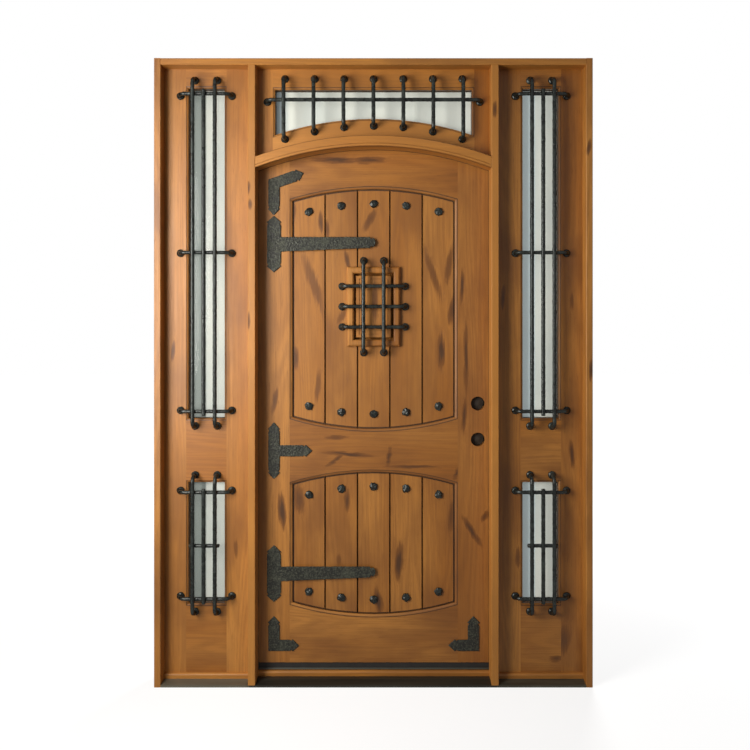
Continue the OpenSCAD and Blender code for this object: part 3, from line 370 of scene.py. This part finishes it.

# Wooden pieces: node, axis of the grain, finish and tone; the place in the list is the seed
# The tones are partly each piece's own shade of wood and partly painted light and shade, lightening or
# darkening whole pieces after how much light falls on them.
WOOD = (
    ("left_jamb", "Z", PLAIN, 0.2),
    ("right_jamb", "Z", PLAIN, -0.1),
    ("left_mullion", "Z", PLAIN, -0.5),
    ("right_mullion", "Z", PLAIN, -0.6),
    ("head_jamb", "X", PLAIN, -0.25),
    ("arched_transom_bar", "X", BAR, -0.45),
    ("sill_beads", "X", PLAIN, -0.1),
    ("glazing_beads", "Z", PLAIN, 0.2),
    ("transom_top_rail", "X", PANEL, -0.3),
    ("transom_arched_rail", "X", PANEL, -0.5),
    ("transom_left_stile", "Z", PANEL, 0.0),
    ("transom_right_stile", "Z", PANEL, 0.0),
    ("left_outer_stile", "Z", PANEL, -0.15),
    ("left_inner_stile", "Z", PANEL, -0.1),
    ("left_top_rail", "X", PANEL, 0.0),
    ("left_middle_rail", "X", PANEL, 0.0),
    ("left_bottom_rail", "X", PANEL, 0.12),
    ("right_inner_stile", "Z", PANEL, 0.15),
    ("right_outer_stile", "Z", PANEL, 0.24),
    ("right_top_rail", "X", PANEL, 0.15),
    ("right_middle_rail", "X", PANEL, 0.1),
    ("right_bottom_rail", "X", PANEL, 0.28),
    ("hinge_stile", "Z", DOOR, 0.2),
    ("lock_stile", "Z", DOOR, 0.38),
    ("door_top_rail", "X", DOOR, 0.14),
    ("lock_rail", "X", DOOR, 0.36),
    ("door_bottom_rail", "X", DOOR, 0.18),
    ("upper_boards", "Z", BOARDS, -0.12),
    ("lower_boards", "Z", BOARDS, 0.0),
    ("speakeasy_casing", "Z", PLAIN, 0.05),
    ("speakeasy_door", "Z", FIELD, 0.1),
)

# Larger knots and streaks as the photograph shows them, in the columns that spots takes
KNOTS = {
    "right_jamb": ((583, 135, 1.5, 6, 0, 0.9), (589, 147, 1.5, 7, 8, 0.8), (591, 370, 1.6, 9, 0, 0.9)),
    "left_mullion": ((248, 188, 1.6, 6, 0, 0.8), (250, 204, 1.4, 5, 0, 0.8), (248, 320, 1.6, 8, 0, 0.7)),
    "right_mullion": ((495, 109, 1.6, 7, 0, 0.8),),
    "transom_right_stile": ((467, 81, 3, 4, 0, 0.9),),
    "left_outer_stile": ((173, 351, 1.6, 9, 5, 0.8),),
    "left_inner_stile": ((236, 548, 1.6, 9, 0, 0.6),),
    "right_inner_stile": ((503, 297, 1.6, 10, 5, 0.8), (518, 558, 2, 9, 0, 0.7)),
    "right_outer_stile": (
        (572, 455, 2, 12, -6, 0.9),
        (564, 639, 5, 14, 10, 0.75),
        (572, 300, 1.5, 8, 0, 0.6),
    ),
    "right_bottom_rail": ((556, 659, 5, 3, 0, 0.8),),
    "hinge_stile": ((275, 400, 1.8, 13, 8, 0.75), (282, 511, 2.6, 15, -4, 1.0)),
    "lock_stile": (
        (462, 287, 1.6, 15, 2, 0.9),
        (466, 356, 1.7, 30, 0, 0.85),
        (464, 416, 2, 15, 4, 0.85),
        (472, 531, 2.2, 16, -33, 0.9),
        (485, 516, 2.4, 5, 35, 0.8),
    ),
    "door_top_rail": ((336, 160, 17, 3.2, 2, 0.9), (368, 160, 13, 3, -2, 0.85)),
    "lock_rail": (
        (336, 437, 9, 2, 0, 0.7),
        (347, 454, 18, 2, 4, 0.95),
        (335, 460, 9, 2, -35, 0.8),
        (389, 457, 1.8, 9, 8, 0.85),
        (413, 467, 20, 1.5, 1, 0.8),
        (457, 473, 2, 6, 28, 0.9),
    ),
    "upper_boards": (
        (370, 220, 2.6, 11, 29, 0.72),
        (321, 222, 1.8, 9, -4, 0.8),
        (327, 229, 1.6, 8, -6, 0.7),
        (313, 282, 3.8, 28, -19, 0.55),
        (347, 260, 1.6, 10, -12, 0.8),
        (433, 274, 2.8, 24, -18, 0.64),
        (449, 266, 2.8, 19, 9, 0.66),
        (452, 310, 2.8, 13, 10, 0.76),
        (441, 351, 2.8, 15, 0, 1.0),
        (296, 358, 2, 11, -3, 0.8),
        (342, 316, 2.6, 8, 30, 0.6),
        (318, 386, 2.2, 16, 6, 0.55),
        (294, 212, 2, 9, 0, 0.5),
    ),
    "lower_boards": (
        (299, 499, 4.0, 14, -6, 0.75),
        (347, 501, 2.2, 11, 0, 0.85),
        (399, 562, 3.2, 16, 6, 1.0),
        (378, 600, 3, 12, -8, 0.95),
        (451, 517, 2, 14, 4, 0.75),
        (339, 560, 2, 6, 0, 0.5),
    ),
    "speakeasy_door": ((375, 302, 2, 20, 0, 0.6),),
}

for seed, (node, along, finish, tone) in enumerate(WOOD, start=1):
    placed = spots(finish.get("face", FRONT), KNOTS.get(node, ()))
    paint([node], wood(f"wood_{node}", along, seed, placed, tone=tone, **finish))


# Iron, bronze, rubber, steel and glass

IRON_WARP = 0.006


def iron(name, base, worn, dark, cell, depth, rough, metal, speck):
    """Beaten iron: cell is the number of dents to a metre, speck the strength of its fine mottling."""
    t = material(name)
    pos = t.coords()
    warp = t.vec("MULTIPLY", t.jitter(pos, 70.0), (IRON_WARP, IRON_WARP, IRON_WARP))
    dents = t.cells(t.vec("ADD", pos, warp), cell)
    fine = t.noise(pos, 900.0, 3.0, 0.6)
    blotch = t.noise(pos, 24.0, 3.0, 0.55)
    grain = t.noise(pos, cell * 0.9, 2.0, 0.6)
    colour = t.tint(dark, dents, 0.15, 0.75, 1.0, base)
    colour = t.tint(colour, blotch, 0.45, 0.75, 0.6, worn)
    colour = t.tint(colour, fine, 0.55, 0.75, 0.35, dark)
    colour = t.tint(colour, grain, 0.52, 0.66, speck, worn)
    colour = t.tint(colour, grain, 0.48, 0.34, speck, dark)
    height = t.math("ADD", dents, t.math("MULTIPLY", fine, 0.12))
    t.principled(
        Base_Color=colour,
        Metallic=metal,
        Roughness=t.ramp(blotch, 0.3, 0.7, *rough),
        Normal=t.bump(height, depth, 0.8),
        Specular_IOR_Level=0.4,
    )
    return t.owner


def plain(name, colour, second, rough, metal=0.0, scale=(40, 40, 40), grit=600.0, depth=0.0002):
    """Two close colours in clouds of a scale, over fine grit."""
    t = material(name)
    pos = t.coords()
    broad = t.noise(t.vec("MULTIPLY", pos, scale), 1.0, 3.0)
    t.principled(
        Base_Color=t.tint(colour, broad, 0.35, 0.7, 1.0, second),
        Metallic=metal,
        Roughness=t.ramp(broad, 0.3, 0.7, rough - 0.07, rough + 0.07),
        Normal=t.bump(t.noise(pos, grit, 2.0), depth, 0.4),
    )
    return t.owner


BAY_FADE = 0.03
SADDLE_EDGE = (0.0345, 0.0362)


def bronze():
    """Brushed sill, darker across the door bay and lighter in the left bay, where the lightening is a
    painted sheen.
    The top edge of its saddle carries a painted highlight of one even colour."""
    t = material("bronze_sill")
    pos = t.coords()
    x, _, z = t.split(pos)
    broad = t.noise(t.vec("MULTIPLY", pos, (3, 60, 60)), 1.0, 3.0)
    brushed = t.noise(t.vec("MULTIPLY", pos, (12, 900, 900)), 1.0, 2.0)
    colour = t.tint(srgb(66, 64, 54), broad, 0.35, 0.7, 1.0, srgb(92, 90, 78))
    half_bay = -OPENING_LEFT
    from_middle = t.math("ABSOLUTE", x)
    colour = t.tint(colour, from_middle, half_bay + BAY_FADE, half_bay, 0.75, srgb(36, 34, 29))
    # Painted sheen: the left bay lighter
    colour = t.tint(colour, x, OPENING_LEFT, OPENING_LEFT - BAY_FADE, 0.6, srgb(126, 120, 104))
    # Painted highlight along the top edge of the saddle
    saddle_highlight = t.math("MULTIPLY", t.ramp(z, *SADDLE_EDGE), t.ramp(brushed, 0.3, 0.6, 0.6, 1.0))
    t.principled(
        Base_Color=t.mix(saddle_highlight, colour, srgb(74, 74, 65)),
        Metallic=t.ramp(saddle_highlight, 0.0, 1.0, 0.35, 0.25),
        Roughness=t.ramp(broad, 0.3, 0.7, 0.32, 0.46),
        Normal=t.bump(brushed, 0.0001, 0.4),
    )
    return t.owner


SHADE_STRIP_BLUR = 0.025
INNER_SKIN = 0.0005
CLEAR = srgb(150, 156, 152)
FROST = srgb(242, 245, 234)
FROST_CLOUD = srgb(226, 232, 224)


def glass(name, shade_strip, shade):
    """Sealed unit: clear outer face, frosted inner face with a strip of painted shade at its left edge.
    The second argument is the share of the pane's width that the painted shade covers."""
    t = material(name)
    pos = t.coords()
    across = t.split(t.coords("Generated"))[X]
    inner = t.math("GREATER_THAN", t.split(pos)[Y], PANE - INNER_SKIN)
    cloud = t.noise(t.vec("MULTIPLY", pos, (9.0, 9.0, 3.0)), 1.0, 2.0)
    grit = t.noise(pos, 1400.0, 2.0)
    white = t.tint(FROST, cloud, 0.3, 0.7, 1.0, FROST_CLOUD)
    # Painted shade: a darker strip along the left edge of the pane
    white = t.tint(white, across, shade_strip + SHADE_STRIP_BLUR, shade_strip - SHADE_STRIP_BLUR, 1.0, shade)
    face = t.principled(
        Base_Color=t.mix(inner, CLEAR, white),
        Roughness=t.ramp(inner, 0.0, 1.0, 0.05, 0.56),
        Alpha=t.ramp(inner, 0.0, 1.0, 0.10, 1.0),
        Specular_IOR_Level=t.ramp(inner, 0.0, 1.0, 1.0, 0.4),
        Normal=t.bump(t.math("MULTIPLY", grit, inner), 0.00005, 0.2),
    )
    through = t.node("ShaderNodeBsdfTranslucent")
    t.put(white, through.inputs[0])
    both = t.node("ShaderNodeMixShader")
    t.put(t.math("MULTIPLY", inner, 0.22), both.inputs[0])
    t.put(face.outputs[0], both.inputs[1])
    t.put(through.outputs[0], both.inputs[2])
    t.put(both.outputs[0], t.out.inputs[0])
    return t.owner


STRAPS = [n for n in nodes if n.endswith("_strap")]
GRILLES = [n for n in nodes if n.endswith("grille")]

paint(GRILLES + ["clavos", "speakeasy_knob"], iron(
    "forged_iron", srgb(40, 44, 40), srgb(64, 71, 67), srgb(20, 23, 22),
    cell=130.0, depth=0.0003, rough=(0.20, 0.38), metal=0.25, speck=0.35,
))
paint(STRAPS, iron(
    "strap_iron", srgb(52, 53, 44), srgb(80, 82, 69), srgb(26, 26, 22),
    cell=200.0, depth=0.0005, rough=(0.44, 0.62), metal=0.15, speck=0.8,
))
paint(["sill"], bronze())
paint(["door_weatherstrip", "door_sweep"], plain("seal_rubber", srgb(30, 28, 26), srgb(42, 40, 38), 0.7))
paint(
    [
        "hinge_frame_leaves", "hinge_pins", "hinge_door_leaves", "speakeasy_casing_leaves",
        "speakeasy_hinge_pins", "speakeasy_catch", "speakeasy_door_leaves",
    ],
    plain("hinge_steel", srgb(92, 86, 78), srgb(70, 66, 60), 0.35, 0.85, (30, 30, 200), 1500.0, 0.0001),
)
# Each pane's strip of painted shade: its share of the width and its colour
paint(["left_upper_glass", "left_lower_glass"], glass("left_glass", 0.44, srgb(128, 136, 131)))
paint(["right_upper_glass", "right_lower_glass"], glass("right_glass", 0.40, srgb(224, 240, 242)))
paint(["transom_glass"], glass("transom_glass", 0.06, srgb(160, 174, 178)))


# Eased edges of the wooden pieces other than the boards

EASED = 0.0008
EASED_ANGLE = math.radians(38)


def ease(names):
    """Edges broken with sandpaper, as a furniture maker leaves them."""
    for n in names:
        m = nodes[n].modifiers.new("eased", "BEVEL")
        m.width = EASED
        m.segments = 2
        m.limit_method = "ANGLE"
        m.angle_limit = EASED_ANGLE
        m.use_clamp_overlap = True


ease([node for node, _, finish, _ in WOOD if finish is not BOARDS])


# Hammered faces of the forged pieces

def hammer(names, label, voxel, cell, depth):
    """Beaten surface: dents of one size over a fine, even mesh of the node."""
    tex = bpy.data.textures.new(label, "VORONOI")
    tex.noise_scale = cell
    tex.distance_metric = "DISTANCE_SQUARED"
    tex.noise_intensity = 1.4
    for n in names:
        even = nodes[n].modifiers.new("even", "REMESH")
        even.mode = "VOXEL"
        even.voxel_size = voxel
        even.use_smooth_shade = True
        beat = nodes[n].modifiers.new("beaten", "DISPLACE")
        beat.texture = tex
        beat.texture_coords = "LOCAL"
        beat.strength = depth
        beat.mid_level = 0.5


hammer(STRAPS, "strap_dents", voxel=0.0016, cell=0.0055, depth=0.0010)
hammer(["clavos"], "clavo_dents", voxel=0.0013, cell=0.009, depth=0.0034)
hammer(GRILLES, "grille_dents", voxel=0.0022, cell=0.011, depth=0.0007)


# Pieces added to the CAD

POINT = 1e-6


def lathe(name, profile, segments, mat, body, places):
    """Turned pieces about their own Z axis, one for each matrix, from a profile of radius and height."""
    bm = bmesh.new()
    for place in places:
        rings = []
        for radius, height in profile:
            count = 1 if radius < POINT else segments
            ring = []
            for i in range(count):
                turn = 2 * math.pi * i / count
                corner = Vector((radius * math.cos(turn), radius * math.sin(turn), height))
                ring.append(bm.verts.new(place @ corner))
            rings.append(ring)
        for a, b in zip(rings, rings[1:]):
            for i in range(segments):
                j = (i + 1) % segments
                if len(a) == 1:
                    bm.faces.new((a[0], b[i], b[j]))
                elif len(b) == 1:
                    bm.faces.new((a[i], a[j], b[0]))
                else:
                    bm.faces.new((a[i], a[j], b[j], b[i]))
    bmesh.ops.recalc_face_normals(bm, faces=bm.faces)
    me = bpy.data.meshes.new(name)
    bm.to_mesh(me)
    bm.free()
    me.materials.append(mat)
    for p in me.polygons:
        p.use_smooth = True
    o = bpy.data.objects.new(name, me)
    scene.collection.objects.link(o)
    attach(o, body)
    return o


def facing(x, y, z, direction):
    """Matrix that sets a piece's own +Z along a direction at a point."""
    q = Vector((0, 0, 1)).rotation_difference(Vector(direction))
    return Matrix.Translation((x, y, z)) @ q.to_matrix().to_4x4()


# Dark caps in the two lock bores, set a little indoors of the middle: a dark piece put in for the shade seen
# down the bores
PLUG_SET = 0.0005
PLUG_SEGMENTS = 48
PLUG = (
    (0, 0.004),
    (0.014, 0.0038),
    (0.0150, 0.003),
    (0.0235, 0.0026),
    (0.0266, 0.0012),
    (0.0271, 0),
    (0.0266, -0.003),
    (0, -0.003),
)
plug = plain("bore_plug", srgb(52, 44, 35), srgb(66, 57, 46), 0.7)
for i, (x, y, z) in enumerate(BORES, start=1):
    place = facing(x, y + PLUG_SET, z, (0, -1, 0))
    lathe(f"bore_plug_{i}", PLUG, PLUG_SEGMENTS, plug, "door", [place])

# Screws of the three butt hinges, four to a leaf in two staggered columns
SCREW = (
    (0, -0.0007),
    (0.0013, -0.0006),
    (0.0017, 0.0001),
    (0.0030, 0.0002),
    (0.0039, 0.0001),
    (0.0042, -0.0003),
    (0.0030, -0.0012),
    (0, -0.0013),
)
HINGE_COUNT = 3
HINGE_TALL = 0.102
HINGE_LOW, HINGE_HIGH = span("hinge_frame_leaves", Z)
HINGE_STEP = (HINGE_HIGH - HINGE_LOW - HINGE_TALL) / (HINGE_COUNT - 1)
LOWER_SPOTS = ((0.0315, 0.013), (0.0445, 0.037))
UPPER_SPOTS = [(y, HINGE_TALL - rise) for y, rise in reversed(LOWER_SPOTS)]
SCREW_SPOTS = (*LOWER_SPOTS, *UPPER_SPOTS)
SCREW_SEGMENTS = 24
steel = plain(
    "screw_steel", srgb(122, 116, 106), srgb(92, 88, 80), 0.3, 0.85, (200, 200, 200), 2500.0, 0.00005,
)
screw_places = []
for i in range(HINGE_COUNT):
    for y, rise in SCREW_SPOTS:
        screw_places.append((y, HINGE_LOW + i * HINGE_STEP + rise))
for name, body, x, side in (
    ("frame_hinge_screws", "frame", OPENING_LEFT, 1),
    ("door_hinge_screws", "door", LEAF_LEFT, -1),
):
    places = [facing(x, y, z, (side, 0, 0)) for y, z in screw_places]
    lathe(name, SCREW, SCREW_SEGMENTS, steel, body, places)

# Smaller screws of the speakeasy's two hinges, each leaf beside the pin
SMALL_SCALE = 0.68
SMALL_SEGMENTS = 20
SMALL_PIN_X = PINS["speakeasy_swing"][X]
SMALL_REACH = 0.0113
SMALL_LEAF = 0.002
SMALL_TALL = 0.050
SMALL_LOW, SMALL_HIGH = span("speakeasy_casing_leaves", Z)
SMALL_FEET = (SMALL_LOW, SMALL_HIGH - SMALL_TALL)
SMALL_RISE = 0.0085
SMALL_RISES = (SMALL_RISE, SMALL_TALL - SMALL_RISE)
small = [(radius * SMALL_SCALE, height * SMALL_SCALE) for radius, height in SCREW]
small_heights = [foot + rise for foot in SMALL_FEET for rise in SMALL_RISES]
for name, body, x in (
    ("casing_leaf_screws", "door", SMALL_PIN_X - SMALL_REACH),
    ("speakeasy_leaf_screws", "speakeasy", SMALL_PIN_X + SMALL_REACH),
):
    places = [facing(x, LEAF_BACK + SMALL_LEAF, z, (0, 1, 0)) for z in small_heights]
    lathe(name, small, SMALL_SEGMENTS, steel, body, places)


# Stage, lamps and camera

WHITE = (1, 1, 1, 1)
MIRRORED = 0.5
FLOOR_SIZE = 30
FLOOR_GREY = (0.35, 0.35, 0.35, 1)
GLOW_NEAR = 1.0
GLOW_FAR = 3.2
GLOW_LOW = 0.78
GLOW_FULL = 0.985
WORLD_LIGHT = 0.10


def seen(t):
    """One in the camera's view and through glass, and a share of it in reflections."""
    path = t.node("ShaderNodeLightPath").outputs
    straight = t.math("MAXIMUM", path["Is Camera Ray"], path["Is Transmission Ray"])
    return t.math("MAXIMUM", straight, t.math("MULTIPLY", path["Is Glossy Ray"], MIRRORED))


bpy.ops.mesh.primitive_plane_add(size=FLOOR_SIZE, location=(0, 0, 0))
floor = bpy.context.object
floor.name = "floor"
t = material("floor_white")
diffuse = t.node("ShaderNodeBsdfDiffuse")
t.put(FLOOR_GREY, diffuse.inputs[0])
glow = t.node("ShaderNodeEmission")
t.put(WHITE, glow.inputs[0])
pale = t.ramp(t.vec("LENGTH", t.coords()), GLOW_NEAR, GLOW_FAR, GLOW_LOW, GLOW_FULL)
t.put(t.math("MULTIPLY", seen(t), pale), glow.inputs[1])
add = t.node("ShaderNodeAddShader")
t.put(diffuse.outputs[0], add.inputs[0])
t.put(glow.outputs[0], add.inputs[1])
t.put(add.outputs[0], t.out.inputs[0])
floor.data.materials.append(t.owner)

scene.world = bpy.data.worlds.new("studio")
t = Tree(scene.world, "ShaderNodeOutputWorld")
background = t.node("ShaderNodeBackground")
t.put(WHITE, background.inputs[0])
t.put(t.ramp(seen(t), 0.0, 1.0, WORLD_LIGHT, 1.0, "LINEAR"), background.inputs[1])
t.put(background.outputs[0], t.out.inputs[0])


def lamp(name, place, target, size, watts):
    data = bpy.data.lights.new(name, "AREA")
    data.shape = "DISK"
    data.size = size
    data.energy = watts
    o = bpy.data.objects.new(name, data)
    o.location = place
    o.rotation_euler = (Vector(target) - Vector(place)).to_track_quat("-Z", "Y").to_euler()
    scene.collection.objects.link(o)
    o.visible_camera = False
    return data


key = lamp("key", (-1.45, -1.50, 1.60), (0.1, 0, 1.40), size=1.05, watts=43)
key.color = (1.0, 0.97, 0.92)
key.shape = "ELLIPSE"
key.size_y = 1.9
key.spread = math.radians(150)
lamp("fill", (1.6, -3.6, 2.4), (0, 0, 1.2), size=2.0, watts=2.5)
lamp("back", (1.6, 3.4, 2.6), (0, 0, 1.2), size=1.6, watts=110)

SENSOR = 36
cam_data = bpy.data.cameras.new("camera")
cam_data.sensor_width = SENSOR
cam_data.lens = SENSOR * FACE_DISTANCE / (PICTURE * PIXEL)
cam_data.shift_x = (PICTURE / 2 - EYE_COLUMN) / PICTURE
cam_data.shift_y = (EYE_ROW - PICTURE / 2) / PICTURE
cam_data.clip_end = 100
cam = bpy.data.objects.new("camera", cam_data)
cam.location = CAM
cam.rotation_euler = (math.pi / 2, 0, 0)
scene.collection.objects.link(cam)
scene.camera = cam

scene.view_settings.view_transform = "Standard"
